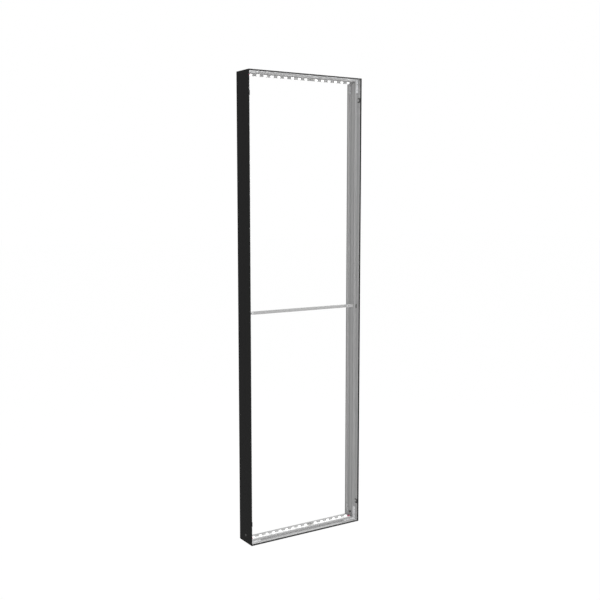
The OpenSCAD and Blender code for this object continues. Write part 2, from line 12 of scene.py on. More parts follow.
import bmesh
import bpy
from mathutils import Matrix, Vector


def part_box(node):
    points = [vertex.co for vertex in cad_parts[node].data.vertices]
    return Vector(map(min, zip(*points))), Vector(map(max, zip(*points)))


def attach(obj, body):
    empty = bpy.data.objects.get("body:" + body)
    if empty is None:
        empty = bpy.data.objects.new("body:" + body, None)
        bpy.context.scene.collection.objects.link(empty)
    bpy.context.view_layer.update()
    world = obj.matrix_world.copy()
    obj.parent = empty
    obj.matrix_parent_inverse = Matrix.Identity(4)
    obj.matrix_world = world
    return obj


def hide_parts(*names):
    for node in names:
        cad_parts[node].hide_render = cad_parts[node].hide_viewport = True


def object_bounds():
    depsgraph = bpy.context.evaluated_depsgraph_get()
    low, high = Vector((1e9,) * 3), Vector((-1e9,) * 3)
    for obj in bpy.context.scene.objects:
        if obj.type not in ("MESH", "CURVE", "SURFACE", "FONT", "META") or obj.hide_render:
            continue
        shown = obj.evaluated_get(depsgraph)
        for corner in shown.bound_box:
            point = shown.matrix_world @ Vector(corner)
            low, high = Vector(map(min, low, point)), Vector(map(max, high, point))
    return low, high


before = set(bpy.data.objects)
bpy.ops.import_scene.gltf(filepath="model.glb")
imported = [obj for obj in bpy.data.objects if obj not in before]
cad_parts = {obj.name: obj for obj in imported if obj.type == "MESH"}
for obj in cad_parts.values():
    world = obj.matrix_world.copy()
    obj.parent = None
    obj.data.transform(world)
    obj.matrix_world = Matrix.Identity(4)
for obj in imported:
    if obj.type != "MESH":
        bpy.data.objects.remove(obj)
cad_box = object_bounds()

MM = 0.001
HALF_WIDTH, HALF_DEPTH, HALF_HEIGHT = [(high - low) / 2 for low, high in zip(*cad_box)]
scene = bpy.context.scene
scene.view_settings.view_transform = "Standard"
print("CAD nodes:", len(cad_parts), "box:", [tuple(round(c, 4) for c in p) for p in cad_box])

# %% [markdown]
# ## Two helpers
# Colours are written as sRGB hex codes, as a paint chart gives them, but Blender mixes light in
# linear values, so one function converts them. The other adds any node to any tree: settings are
# the node's own properties, and inputs are either plain values or the sockets to link from.


# %% Colours and nodes
def srgb(code):
    """Linear RGBA of an sRGB hex colour."""
    shares = [int(code[i:i + 2], 16) / 255 for i in (1, 3, 5)]
    return [c / 12.92 if c <= 0.04045 else ((c + 0.055) / 1.055) ** 2.4 for c in shares] + [1.0]


def add(tree, kind, inputs=None, **settings):
    """Adds a node to a tree, with its settings, input values and links."""
    node = tree.nodes.new(kind)
    for name, value in settings.items():
        setattr(node, name, value)
    for key, value in (inputs or {}).items():
        if isinstance(value, bpy.types.NodeSocket):
            tree.links.new(value, node.inputs[key])
        else:
            node.inputs[key].default_value = value
    return node


print("white is", srgb("#ffffff"))

# %% [markdown]
# ## The camera
# The photograph looks at the frame from its left, a little above the middle. The place, the angle
# and the lens were worked out from the frame's corners, so the camera needs no shift.

# %% Camera
camera = bpy.data.objects.new("camera", bpy.data.cameras.new("camera"))
scene.collection.objects.link(camera)
camera.data.sensor_width = 36.0
camera.data.lens = 53.548
camera.location = Vector((-2584.2, -4114.9, 1834.2)) * MM
camera.rotation_euler = (math.radians(83.515), 0, math.radians(-32.491))
camera.data.clip_end = 100
scene.camera = camera
print("camera at", tuple(round(c, 3) for c in camera.location))

# %% [markdown]
# ## A white studio
# The photograph has a plain white ground and soft light from all round. The world gives most of
# the light. Rays that come straight from the camera, or by way of metal or glass, see it as pure
# white. The floor is a pale sheet below the hanging frame. For those rays it mixes the same white
# into its own shading, which keeps a trace of the soft shadow.


# %% World
def seen_as_ground(tree):
    """1 for rays that come from the camera, or by way of metal or glass, and 0 for the rest."""
    path = add(tree, "ShaderNodeLightPath").outputs
    seen = {0: path["Is Camera Ray"], 1: path["Is Glossy Ray"]}
    seen = add(tree, "ShaderNodeMath", seen, operation="MAXIMUM").outputs[0]
    seen = {0: seen, 1: path["Is Transmission Ray"]}
    return add(tree, "ShaderNodeMath", seen, operation="MAXIMUM").outputs[0]


SKY_STRENGTH = 0.45
world = bpy.data.worlds.new("white_studio")
world.use_nodes = True
scene.world = world
tree = world.node_tree
tree.nodes.clear()
seen = seen_as_ground(tree)
sky = add(tree, "ShaderNodeBackground", {"Color": srgb("#ffffff"), "Strength": SKY_STRENGTH})
ground = add(tree, "ShaderNodeBackground", {"Color": srgb("#ffffff"), "Strength": 1.0})
both = add(tree, "ShaderNodeMixShader", {0: seen, 1: sky.outputs[0], 2: ground.outputs[0]})
add(tree, "ShaderNodeOutputWorld", {"Surface": both.outputs[0]})
print("sky strength", SKY_STRENGTH)

# %% Floor
FLOOR_DROP = 400 * MM
FLOOR_HALF = 40.0
CAMERA_WHITE = 0.975
FLOOR_GLOW = 1.013
floor_mesh = bpy.data.meshes.new("floor")
square = ((-1, -1), (1, -1), (1, 1), (-1, 1))
corners = [(x * FLOOR_HALF, y * FLOOR_HALF, -FLOOR_DROP) for x, y in square]
floor_mesh.from_pydata(corners, [], [(0, 1, 2, 3)])
floor = bpy.data.objects.new("floor", floor_mesh)
scene.collection.objects.link(floor)
paper = bpy.data.materials.new("white_paper_floor")
paper.use_nodes = True
tree = paper.node_tree
tree.nodes.clear()
seen = seen_as_ground(tree)
share = add(tree, "ShaderNodeMath", {0: seen, 1: CAMERA_WHITE}, operation="MULTIPLY")
matt = add(tree, "ShaderNodeBsdfDiffuse", {"Color": srgb("#f6f6f6")})
glow = add(tree, "ShaderNodeEmission", {"Color": srgb("#ffffff"), "Strength": FLOOR_GLOW})
both = add(tree, "ShaderNodeMixShader", {0: share.outputs[0], 1: matt.outputs[0], 2: glow.outputs[0]})
add(tree, "ShaderNodeOutputMaterial", {"Surface": both.outputs[0]})
floor_mesh.materials.append(paper)
print("floor at", -FLOOR_DROP)


# %% Lamps
def soft_lamp(name, place, target, size, power, spread_deg=180):
    """A square area lamp that faces a point."""
    lamp = bpy.data.objects.new(name, bpy.data.lights.new(name, "AREA"))
    scene.collection.objects.link(lamp)
    lamp.data.size = size
    lamp.data.energy = power
    lamp.data.spread = math.radians(spread_deg)
    lamp.location = place
    lamp.rotation_euler = (Vector(target) - lamp.location).to_track_quat("-Z", "Y").to_euler()


LAMP_SIZE = 2.5
LOW_LAMP_SIZE = 0.8
middle = Vector((0, -HALF_DEPTH, HALF_HEIGHT))
under_top = (0, -HALF_DEPTH, 2 * HALF_HEIGHT)
soft_lamp("key_lamp", (-1.4, -5.0, 1.6), middle, LAMP_SIZE, power=75)
soft_lamp("top_lamp", (0, -3.0, 6.0), middle, LAMP_SIZE, power=150)
soft_lamp("back_lamp", (3.6, 2.5, 2.5), middle, LAMP_SIZE, power=60)
# A narrow lamp below lifts the underside of the top rail, which the others leave in shade.
soft_lamp("low_lamp", (0.8, -1.6, -0.3), under_top, LOW_LAMP_SIZE, power=4, spread_deg=40)

# %% [markdown]
# ## The extrusion's two finishes
# The bars are mill-finish aluminium: a soft grey metal with faint lines from the die, all running
# along the bar. A black powder coat covers the outer faces and the lips at the front and back.
# Both are on the same solid, so one material holds both and tells them apart by the distance from
# the frame's centre. The same measure draws the hairline where two bars meet at 45 degrees. The
# real die lines are under 1 mm apart, too fine to show, so they are drawn 4 mm apart. Long bands,
# paler or darker, run along the bars as well. Their tones were set by comparing renders with the
# photograph, and a ramp over the depth holds them: millimetres from the front, and the tone that
# multiplies the metal's colour there.
# These bands are painted light and shade, paler on the channel floors and darker on the rear flange.


# %% Mottled patterns
NOISE_DETAIL = 3.0


def blank(name):
    """A new material with its tree and its Principled shader."""
    made = bpy.data.materials.new(name)
    made.use_nodes = True
    return made, made.node_tree, made.node_tree.nodes["Principled BSDF"]


def mottle(tree, spots_mm):
    """A cloudy pattern whose spots measure so many millimetres along X, Y and Z."""
    place = add(tree, "ShaderNodeTexCoord").outputs["Object"]
    scaled = {"Vector": place, "Scale": [1 / (spot * MM) for spot in spots_mm]}
    scaled = add(tree, "ShaderNodeMapping", scaled)
    inputs = {"Vector": scaled.outputs[0], "Scale": 1.0, "Detail": NOISE_DETAIL}
    return add(tree, "ShaderNodeTexNoise", inputs).outputs["Fac"]


# %% Black-coated aluminium
COAT_EDGE = 0.4 * MM
LIP_DEPTH = 6.9 * MM
SEAM = 0.15 * MM
POWDER_GRAIN_MM = (0.8, 0.8, 0.8)
RELIEF = 0.02 * MM
BARE_ROUGH = 0.55
COAT_ROUGH = 0.7
OXIDE_DULLED = 0.3
MATT = 0.12


def coated_extrusion(name, across, half_across, lines_mm, light_and_shade_bands):
    """Mill-finish aluminium, black where the distance across or the depth reaches the outside."""
    made, tree, shader = blank(name)
    place = add(tree, "ShaderNodeTexCoord").outputs["Object"]
    centred = {"Vector": place, "Location": (0, HALF_DEPTH, -HALF_HEIGHT)}
    centred = add(tree, "ShaderNodeMapping", centred)
    away = add(tree, "ShaderNodeVectorMath", {0: centred.outputs[0]}, operation="ABSOLUTE")
    away = add(tree, "ShaderNodeSeparateXYZ", {0: away.outputs[0]}).outputs
    outside = {0: away[across], 1: half_across - COAT_EDGE}
    outside = add(tree, "ShaderNodeMath", outside, operation="GREATER_THAN").outputs[0]
    lip = {0: away["Y"], 1: HALF_DEPTH - LIP_DEPTH}
    lip = add(tree, "ShaderNodeMath", lip, operation="GREATER_THAN").outputs[0]
    black = add(tree, "ShaderNodeMath", {0: outside, 1: lip}, operation="MAXIMUM").outputs[0]
    slant = {0: away["Z"], 1: away["X"]}
    slant = add(tree, "ShaderNodeMath", slant, operation="SUBTRACT").outputs[0]
    seam = {0: slant, 1: HALF_HEIGHT - HALF_WIDTH, 2: SEAM}
    seam = add(tree, "ShaderNodeMath", seam, operation="COMPARE").outputs[0]

    lines = mottle(tree, lines_mm)
    speckle = mottle(tree, POWDER_GRAIN_MM)
    metal = {0: lines, 6: srgb("#d2d2d2"), 7: srgb("#dedede")}
    metal = add(tree, "ShaderNodeMix", metal, data_type="RGBA").outputs[2]
    # Painted light and shade: a ramp of tones over the depth multiplies the metal's colour.
    depth = add(tree, "ShaderNodeSeparateXYZ", {0: centred.outputs[0]}).outputs["Y"]
    depth = {"Value": depth, "From Min": -HALF_DEPTH, "From Max": HALF_DEPTH}
    depth = add(tree, "ShaderNodeMapRange", depth).outputs[0]
    painted_tones = add(tree, "ShaderNodeValToRGB", {0: depth})
    stops = painted_tones.color_ramp.elements
    for at_mm, tone in light_and_shade_bands.items():
        stops.new(at_mm * MM / (2 * HALF_DEPTH)).color = srgb(tone)
    stops.remove(stops[0])
    stops.remove(stops[-1])
    metal = {0: 1.0, 6: metal, 7: painted_tones.outputs[0]}
    metal = add(tree, "ShaderNodeMix", metal, data_type="RGBA", blend_type="MULTIPLY").outputs[2]
    coat = {0: speckle, 6: srgb("#0c0c0c"), 7: srgb("#121212")}
    coat = add(tree, "ShaderNodeMix", coat, data_type="RGBA").outputs[2]
    colour = add(tree, "ShaderNodeMix", {0: black, 6: metal, 7: coat}, data_type="RGBA").outputs[2]
    colour = add(tree, "ShaderNodeMix", {0: seam, 6: colour, 7: srgb("#141414")}, data_type="RGBA")
    bare = add(tree, "ShaderNodeMapRange", {"Value": black, "To Min": OXIDE_DULLED, "To Max": 0.0})
    rough = {"Value": black, "To Min": BARE_ROUGH, "To Max": COAT_ROUGH}
    rough = add(tree, "ShaderNodeMapRange", rough)
    relief = add(tree, "ShaderNodeMix", {0: black, 2: lines, 3: speckle}, data_type="FLOAT")
    bump = add(tree, "ShaderNodeBump", {"Height": relief.outputs[0], "Distance": RELIEF})
    tree.links.new(colour.outputs[2], shader.inputs["Base Color"])
    tree.links.new(bare.outputs[0], shader.inputs["Metallic"])
    tree.links.new(rough.outputs[0], shader.inputs["Roughness"])
    tree.links.new(bump.outputs[0], shader.inputs["Normal"])
    shader.inputs["Specular IOR Level"].default_value = MATT
    return made


# Painted light and shade over the depth: millimetres from the front, and the tone there.
POST_LIGHT_AND_SHADE_BANDS = {
    6: "#d6d6d6", 20: "#c6c6c6",  # groove and front flange
    31: "#c6c6c6", 41: "#ffffff", 44: "#ffffff",  # floor of the front channel
    45: "#c6c6c6", 65: "#cccccc", 78: "#c0c0c0", 86: "#c0c0c0",  # seat
    106: "#ffffff", 113: "#cccccc", 123: "#808080",  # floor of the rear channel, and rear flange
}
RAIL_LIGHT_AND_SHADE_BANDS = {
    6: "#fcfcfc", 18: "#d4d4d4", 24: "#d0d0d0",  # groove and front flange
    28: "#e8e8e8", 44: "#e8e8e8",  # floor of the front channel
    45: "#d6d6d6",  # seat and all behind it
}
post_finish = coated_extrusion("mill_aluminium_black_coat_post", "X", HALF_WIDTH,
                               lines_mm=(4, 4, 900), light_and_shade_bands=POST_LIGHT_AND_SHADE_BANDS)
rail_finish = coated_extrusion("mill_aluminium_black_coat_rail", "Z", HALF_HEIGHT,
                               lines_mm=(900, 4, 4), light_and_shade_bands=RAIL_LIGHT_AND_SHADE_BANDS)
print("extrusion finishes:", post_finish.name, rail_finish.name)

# %% [markdown]
# ## The other finishes
# Each of the rest is one substance with a little variation: two close colours and a roughness
# range follow the same cloudy pattern, and the pattern's relief gives the surface its touch. The
# numbers start from typical ones: plastics have an IOR near 1.5, and clean metals are fully
# metallic. A dull skin of oxide or plating makes the larger metal pieces only partly so.


# %% One function for a plain substance
def substance(name, pale, dark, rough, spots_mm, relief_mm, metallic=0.0, ior=1.5, **sockets):
    """A material from two sRGB colours, a roughness range and a cloudy pattern of a real size."""
    made, tree, shader = blank(name)
    cloud = mottle(tree, spots_mm)
    colour = add(tree, "ShaderNodeMix", {0: cloud, 6: srgb(dark), 7: srgb(pale)}, data_type="RGBA")
    spread = add(tree, "ShaderNodeMapRange", {"Value": cloud, "To Min": rough[0], "To Max": rough[1]})
    bump = add(tree, "ShaderNodeBump", {"Height": cloud, "Distance": relief_mm * MM})
    tree.links.new(colour.outputs[2], shader.inputs["Base Color"])
    tree.links.new(spread.outputs[0], shader.inputs["Roughness"])
    tree.links.new(bump.outputs[0], shader.inputs["Normal"])
    shader.inputs["Metallic"].default_value = metallic
    shader.inputs["IOR"].default_value = ior
    for label, value in sockets.items():
        shader.inputs[label.replace("_", " ")].default_value = value
    return made


# %% Metals
# Bright zinc on bent steel strip: cool and pale, with a faint spangle a couple of millimetres wide.
zinc = substance("zinc_plated_steel", "#f2f3f4", "#e6e7e8", (0.35, 0.5), (2, 2, 2), 0.01, metallic=0.3)
# Plain steel strip behind, duller and darker.
steel = substance("plain_steel_strip", "#c4c4c5", "#b6b6b7", (0.45, 0.6), (3, 3, 3), 0.01, metallic=0.5)
# Black oxide on small screws and nuts: nearly black, with an oily sheen.
oxide = substance("black_oxide_steel", "#2c2c2d", "#1c1c1d", (0.3, 0.45), (1, 1, 1), 0.01, metallic=1.0)
# Clear anodised aluminium, drawn lengthwise: even and silky. The darker copy on the upper light bar
# is painted shade.
upper_carrier_painted_shade = substance("anodised_aluminium_carrier_painted_shade", "#9a9a9a", "#8e8e8e", (0.45, 0.55),
                          (600, 3, 3), 0.01, metallic=0.4)
lower_carrier = substance("anodised_aluminium_rim_painted_highlight", "#b4b4b4", "#a8a8a8", (0.45, 0.55),
                          (600, 3, 3), 0.01, metallic=0.4)
tube_finish = substance("anodised_aluminium_tube", "#b0b0b0", "#a4a4a4", (0.4, 0.5),
                        (600, 3, 3), 0.01, metallic=0.5)
# Die-cast alloy, tumbled: a fine even grain, paler than the tube.
cast = substance("tumbled_die_cast_alloy", "#d0d0d0", "#c2c2c2", (0.45, 0.6),
                 (0.6, 0.6, 0.6), 0.03, metallic=0.5)
# Tinned copper on solder pads and contacts.
tin = substance("tinned_copper", "#d2d0ca", "#b9b7b0", (0.25, 0.4), (1, 1, 1), 0.02, metallic=1.0)
metals = (zinc, steel, oxide, upper_carrier_painted_shade, lower_carrier, tube_finish, cast, tin)
print("metals:", [metal.name for metal in metals])

# %% Plastics, rubber and ceramic
# Opal acrylic lenses: milky, smooth, and softly bright from within.
opal = substance("opal_acrylic", "#fbfbfa", "#f4f4f3", (0.18, 0.28), (6, 6, 6), 0.005, ior=1.49,
                 Emission_Color=srgb("#ffffff"), Emission_Strength=0.55)
# White solder mask on the boards: a satin lacquer, given a faint glow of painted light.
mask = substance("white_solder_mask_painted_glow", "#fafaf9", "#f2f2f1", (0.35, 0.5), (5, 5, 5), 0.01,
                 Emission_Color=srgb("#ffffff"), Emission_Strength=0.32)
# Yellow phosphor resin over the light chips.
phosphor = substance("phosphor_resin", "#f2d97a", "#e6c65c", (0.3, 0.4), (1, 1, 1), 0.01)
# Moulded nylon: white and red for connectors, and black with a fine spark grain for clips.
white_nylon = substance("moulded_white_nylon", "#f2f1ec", "#e4e3de", (0.4, 0.5),
                        (1.5, 1.5, 1.5), 0.02, ior=1.53)
red_nylon = substance("moulded_red_nylon", "#b8245f", "#a02054", (0.4, 0.5),
                      (1.5, 1.5, 1.5), 0.02, ior=1.53)
black_nylon = substance("moulded_black_nylon", "#363636", "#2c2c2c", (0.45, 0.6),
                        (0.6, 0.6, 0.6), 0.03, ior=1.53)
# Soft PVC on wires, and black rubber for bushes.
red_pvc = substance("red_pvc_insulation", "#a81c26", "#8c141c", (0.35, 0.45), (2, 2, 2), 0.01, ior=1.53)
grey_pvc = substance("grey_pvc_insulation", "#929292", "#868686", (0.4, 0.5), (2, 2, 2), 0.01, ior=1.53)
black_pvc = substance("black_pvc_insulation", "#202020", "#161616", (0.35, 0.5), (2, 2, 2), 0.01, ior=1.53)
rubber = substance("black_rubber", "#1e1e1e", "#151515", (0.7, 0.85), (0.8, 0.8, 0.8), 0.02, ior=1.52)
ceramic = substance("black_glazed_ceramic", "#262628", "#1a1a1c", (0.3, 0.4),
                    (0.8, 0.8, 0.8), 0.01, ior=1.6)
print("plastics:", opal.name, mask.name, white_nylon.name, black_nylon.name)

# %% [markdown]
# The carriers of the light bars are bare. The lower one's front rim is coloured near white, a
# painted highlight that widens the white band along the bottom rail.

# %% Painted highlight on the lower rim
RIM = 1.9 * MM
rim_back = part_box("led_carrier_bottom")[0].y + RIM
tree = lower_carrier.node_tree
colour = tree.nodes["Principled BSDF"].inputs["Base Color"]
place = add(tree, "ShaderNodeTexCoord").outputs["Object"]
depth = add(tree, "ShaderNodeSeparateXYZ", {0: place}).outputs["Y"]
front = add(tree, "ShaderNodeMath", {0: depth, 1: rim_back}, operation="LESS_THAN").outputs[0]
# Painted highlight: in front of this depth the rim is coloured near white.
rim_highlight = {0: front, 6: colour.links[0].from_socket, 7: srgb("#e2e2e2")}
rim_highlight = add(tree, "ShaderNodeMix", rim_highlight, data_type="RGBA").outputs[2]
tree.links.new(rim_highlight, colour)
print("white in front of", round(rim_back, 4))

# %% [markdown]
# A power socket is one solid, but its pin and tags are metal. The pin lies within a millimetre of
# the bore's axis, and the tags lie beyond the end of the barrel, so two distances find them.

# %% Power socket
SOCKET_HEIGHT = 40 * MM
PIN_RADIUS = 1.05 * MM
BARREL_END = 337 * MM
FIT = 0.1 * MM
SOCKET_ROUGH = 0.45
PIN_ROUGH = 0.28
socket_finish, tree, shader = blank("moulded_black_abs_socket")
place = add(tree, "ShaderNodeTexCoord").outputs["Object"]
centred = {"Vector": place, "Location": (0, HALF_DEPTH, -SOCKET_HEIGHT)}
centred = add(tree, "ShaderNodeMapping", centred)
radial = add(tree, "ShaderNodeVectorMath", {0: centred.outputs[0], 1: (0, 1, 1)}, operation="MULTIPLY")
radius = add(tree, "ShaderNodeVectorMath", {0: radial.outputs[0]}, operation="LENGTH").outputs["Value"]
pin = add(tree, "ShaderNodeMath", {0: radius, 1: PIN_RADIUS}, operation="LESS_THAN").outputs[0]
inward = add(tree, "ShaderNodeSeparateXYZ", {0: place}).outputs["X"]
inward = add(tree, "ShaderNodeMath", {0: inward}, operation="ABSOLUTE").outputs[0]
tag = {0: inward, 1: BARREL_END - FIT}
tag = add(tree, "ShaderNodeMath", tag, operation="LESS_THAN").outputs[0]
metal = add(tree, "ShaderNodeMath", {0: pin, 1: tag}, operation="MAXIMUM").outputs[0]
grain = mottle(tree, (0.6, 0.6, 0.6))
black = add(tree, "ShaderNodeMix", {0: grain, 6: srgb("#161616"), 7: srgb("#202020")}, data_type="RGBA")
colour = {0: metal, 6: black.outputs[2], 7: srgb("#cdcbc5")}
colour = add(tree, "ShaderNodeMix", colour, data_type="RGBA")
rough = {"Value": metal, "To Min": SOCKET_ROUGH, "To Max": PIN_ROUGH}
rough = add(tree, "ShaderNodeMapRange", rough)
bump = add(tree, "ShaderNodeBump", {"Height": grain, "Distance": RELIEF})
tree.links.new(colour.outputs[2], shader.inputs["Base Color"])
tree.links.new(metal, shader.inputs["Metallic"])
tree.links.new(rough.outputs[0], shader.inputs["Roughness"])
tree.links.new(bump.outputs[0], shader.inputs["Normal"])
print("socket finish:", socket_finish.name)

# %% [markdown]
# The brace's cam screws are zinc plated too. Their hexagon sockets hold oil and shade, and a
# distance from the screw's axis finds them. The left screw mirrors the right one, so X is taken
# without sign.

# %% Cam screws
CAM_RADIUS = 4.5 * MM
CAM_SOCKET = 2.35 * MM
CAM_ROUGH = (0.35, 0.5)
CAM_METALLIC = 0.5
low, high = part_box("lock_screws")
cam_finish, tree, shader = blank("zinc_plated_cam_screw")
place = add(tree, "ShaderNodeTexCoord").outputs["Object"]
apart = add(tree, "ShaderNodeVectorMath", {0: place}, operation="ABSOLUTE")
axis = (high.x - CAM_RADIUS, 0, (low.z + high.z) / 2)
radial = add(tree, "ShaderNodeVectorMath", {0: apart.outputs[0], 1: axis}, operation="SUBTRACT")
radial = add(tree, "ShaderNodeVectorMath", {0: radial.outputs[0], 1: (1, 0, 1)}, operation="MULTIPLY")
radius = add(tree, "ShaderNodeVectorMath", {0: radial.outputs[0]}, operation="LENGTH").outputs["Value"]
inside = add(tree, "ShaderNodeMath", {0: radius, 1: CAM_SOCKET}, operation="LESS_THAN").outputs[0]
cloud = mottle(tree, (1.5, 1.5, 1.5))
plate = add(tree, "ShaderNodeMix", {0: cloud, 6: srgb("#c8c9ca"), 7: srgb("#d8d9da")}, data_type="RGBA")
colour = {0: inside, 6: plate.outputs[2], 7: srgb("#161616")}
colour = add(tree, "ShaderNodeMix", colour, data_type="RGBA")
rough = {"Value": cloud, "To Min": CAM_ROUGH[0], "To Max": CAM_ROUGH[1]}
rough = add(tree, "ShaderNodeMapRange", rough)
tree.links.new(colour.outputs[2], shader.inputs["Base Color"])
tree.links.new(rough.outputs[0], shader.inputs["Roughness"])
shader.inputs["Metallic"].default_value = CAM_METALLIC
print("cam screw axis:", tuple(round(c, 4) for c in axis))

# %% [markdown]
# ## Dressing the CAD solids
# A node's name says what it is, so a short table from the start of the name to the finish covers
# them all. Nothing about the solids changes but the material in their slots.

# %% Finishes by name
FINISHES = {
    "left_post": post_finish, "right_post": post_finish,
    "top_rail": rail_finish, "bottom_rail": rail_finish,
    "bracket_front": zinc, "bracket_rear": steel, "grub_screws": oxide,
    "wall_hook": zinc, "channel_nut": oxide, "edge_clip": black_nylon,
    "led_carrier_top": upper_carrier_painted_shade, "led_carrier_bottom": lower_carrier,
    "led_board": mask, "led_lenses": opal, "led_chips": phosphor,
    "board_jumper": white_nylon, "wire_plug": red_nylon,
    "power_socket": socket_finish, "socket_nuts": zinc,
    "wire_red": red_pvc, "wire_grey": grey_pvc,
    "riser_lead": black_pvc, "riser_grommet": rubber,
    "brace_tube": tube_finish, "lock_block": cast, "lock_screws": cam_finish,
}
for node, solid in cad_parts.items():
    finish = next(f for start, f in FINISHES.items() if node.startswith(start))
    if not solid.material_slots:
        solid.data.materials.append(finish)
    for slot in solid.material_slots:
        slot.material = finish
print("dressed", len(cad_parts), "nodes")

# %% [markdown]
# ## Copies with Geometry Nodes
# The lenses and the parts on the boards stand in straight rows, so a Mesh Line gives the places
# and Instance on Points sets a copy of a pattern on each. The tree ends in Realize Instances and
# Set Material, so that the result can be kept as a plain mesh. The pattern itself is a small mesh
# made in code, and it is removed when its copies are made.


# %% A tree for rows
def tree_with(name, inputs):
    """An empty Geometry Nodes tree with named inputs and one geometry output."""
    made = bpy.data.node_groups.new(name, "GeometryNodeTree")
    for label, kind in inputs.items():
        made.interface.new_socket(label, in_out="INPUT", socket_type="NodeSocket" + kind)
    made.interface.new_socket("Copies", in_out="OUTPUT", socket_type="NodeSocketGeometry")
    return made


def copies_on(tree, inlet, points, facing):
    """Sets the pattern on each point, turned to face a way, and makes one mesh of the copies."""
    turn = add(tree, "FunctionNodeAlignRotationToVector", {"Vector": facing}, axis="Z")
    pattern = add(tree, "GeometryNodeObjectInfo", {"Object": inlet["Pattern"]})
    copies = {"Points": points, "Instance": pattern.outputs["Geometry"], "Rotation": turn.outputs[0]}
    copies = add(tree, "GeometryNodeInstanceOnPoints", copies)
    whole = add(tree, "GeometryNodeRealizeInstances", {"Geometry": copies.outputs[0]})
    done = {"Geometry": whole.outputs[0], "Material": inlet["Finish"]}
    done = add(tree, "GeometryNodeSetMaterial", done)
    add(tree, "NodeGroupOutput", {0: done.outputs[0]})


row_tree = tree_with("row_of_copies", {
    "Pattern": "Object", "Finish": "Material", "Count": "Int", "First": "Vector", "Step": "Vector",
    "Facing": "Vector"})
inlet = add(row_tree, "NodeGroupInput").outputs
line = {"Count": inlet["Count"], "Start Location": inlet["First"], "Offset": inlet["Step"]}
line = add(row_tree, "GeometryNodeMeshLine", line, mode="OFFSET")
copies_on(row_tree, inlet, line.outputs[0], inlet["Facing"])
print("row tree has", len(row_tree.nodes), "nodes")


# %% Running a tree
MERGE = 0.001 * MM


def keep(name, mesh, body="frame", node=None, smooth_deg=40):
    """Makes a finished piece of a mesh: it rides on a body and may stand for CAD nodes."""
    piece = bpy.data.objects.new(name, mesh)
    scene.collection.objects.link(piece)
    mesh.polygons.foreach_set("use_smooth", [True] * len(mesh.polygons))
    mesh.set_sharp_from_angle(angle=math.radians(smooth_deg))
    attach(piece, body)
    if node:
        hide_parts(node)


def grown(name, tree, values, seed=None):
    """Runs a Geometry Nodes tree with these inputs and returns its result as a plain mesh."""
    host = bpy.data.objects.new(name + ".seed", seed or bpy.data.meshes.new(name + ".seed"))
    scene.collection.objects.link(host)
    modifier = host.modifiers.new("copies", "NODES")
    modifier.node_group = tree
    inlets = [item for item in tree.interface.items_tree if item.in_out == "INPUT"]
    sockets = {item.name: item.identifier for item in inlets}
    for label, value in values.items():
        modifier[sockets[label]] = value
    mesh = bpy.data.meshes.new_from_object(host.evaluated_get(bpy.context.evaluated_depsgraph_get()))
    mesh.name = name
    bpy.data.objects.remove(host)
    return mesh


def mesh_of(name, form):
    """A mesh from a bmesh, with doubles merged and its faces turned outwards."""
    bmesh.ops.remove_doubles(form, verts=form.verts, dist=MERGE)
    bmesh.ops.recalc_face_normals(form, faces=form.faces)
    mesh = bpy.data.meshes.new(name)
    form.to_mesh(mesh)
    form.free()
    return mesh


def pattern_of(name, form):
    """An object to copy, made of a bmesh."""
    made = bpy.data.objects.new(name, mesh_of(name, form))
    scene.collection.objects.link(made)
    return made


print("helpers ready")

# %% [markdown]
# ## The lenses
# Each lens is an oblong dome of milky acrylic that stands on a thin foot, glued over one light
# chip. A dome like this is a stack of rounded-oblong rings: straight up to the shoulder, then drawn
# in along a quarter circle until the last ring is almost a line. The CAD row's box gives the place.


# %% The lens pattern
def oblong(half, radius, height, arc):
    """Points of an oblong with round ends at one height."""
    turns = [math.pi * (i / arc - 0.5) for i in range(arc + 1)]
    right = [(half + radius * math.cos(t), radius * math.sin(t), height) for t in turns]
    return right + [(-x, -y, z) for x, y, z in right]


def loft(rings):
    """A closed bmesh through rings of equal length."""
    form = bmesh.new()
    loops = [[form.verts.new(p) for p in ring] for ring in rings]
    for low, high in zip(loops, loops[1:]):
        for i in range(len(low)):
            j = (i + 1) % len(low)
            form.faces.new((low[i], low[j], high[j], high[i]))
    form.faces.new(loops[0][::-1])
    form.faces.new(loops[-1])
    return form


LENS = Vector((16, 10, 12)) * MM
FOOT_OUT = 0.4 * MM
FOOT_HEIGHT = 0.8 * MM
FOOT_TAPER = 0.48 * MM
CREST = 0.05 * MM
ARC_STEPS = 10
CROWN_STEPS = 8
lens_radius = LENS.y / 2
shoulder = LENS.z - lens_radius
foot = lens_radius + FOOT_OUT
levels = [(foot, 0), (foot, FOOT_HEIGHT), (lens_radius, FOOT_HEIGHT + FOOT_TAPER)]
for step in range(CROWN_STEPS):
    rise = math.pi / 2 * step / CROWN_STEPS
    levels.append((lens_radius * math.cos(rise), shoulder + lens_radius * math.sin(rise)))
levels.append((CREST, LENS.z))
half_straight = (LENS.x - LENS.y) / 2
rings = [oblong(half_straight, radius, height, ARC_STEPS) for radius, height in levels]
lens = pattern_of("lens_pattern", loft(rings))
print("lens faces:", len(lens.data.polygons))

# %% The four rows of lenses
ROWS = {"top_long": 9, "top_short": 6, "bottom_long": 9, "bottom_short": 6}
PITCH = 1000 / 24 * MM
for row, count in ROWS.items():
    low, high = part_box("led_lenses_" + row)
    top = row.startswith("top")
    first = Vector((low.x + LENS.x / 2, (low.y + high.y) / 2, high.z if top else low.z))
    values = {"Pattern": lens, "Finish": opal, "Count": count, "First": first,
              "Step": (PITCH, 0, 0), "Facing": (0, 0, -1 if top else 1)}
    rows = grown("lenses_" + row, row_tree, values)
    keep("lenses_" + row, rows, node="led_lenses_" + row)
    print(row, count, "lenses,", len(rows.polygons), "faces")
bpy.data.objects.remove(lens)

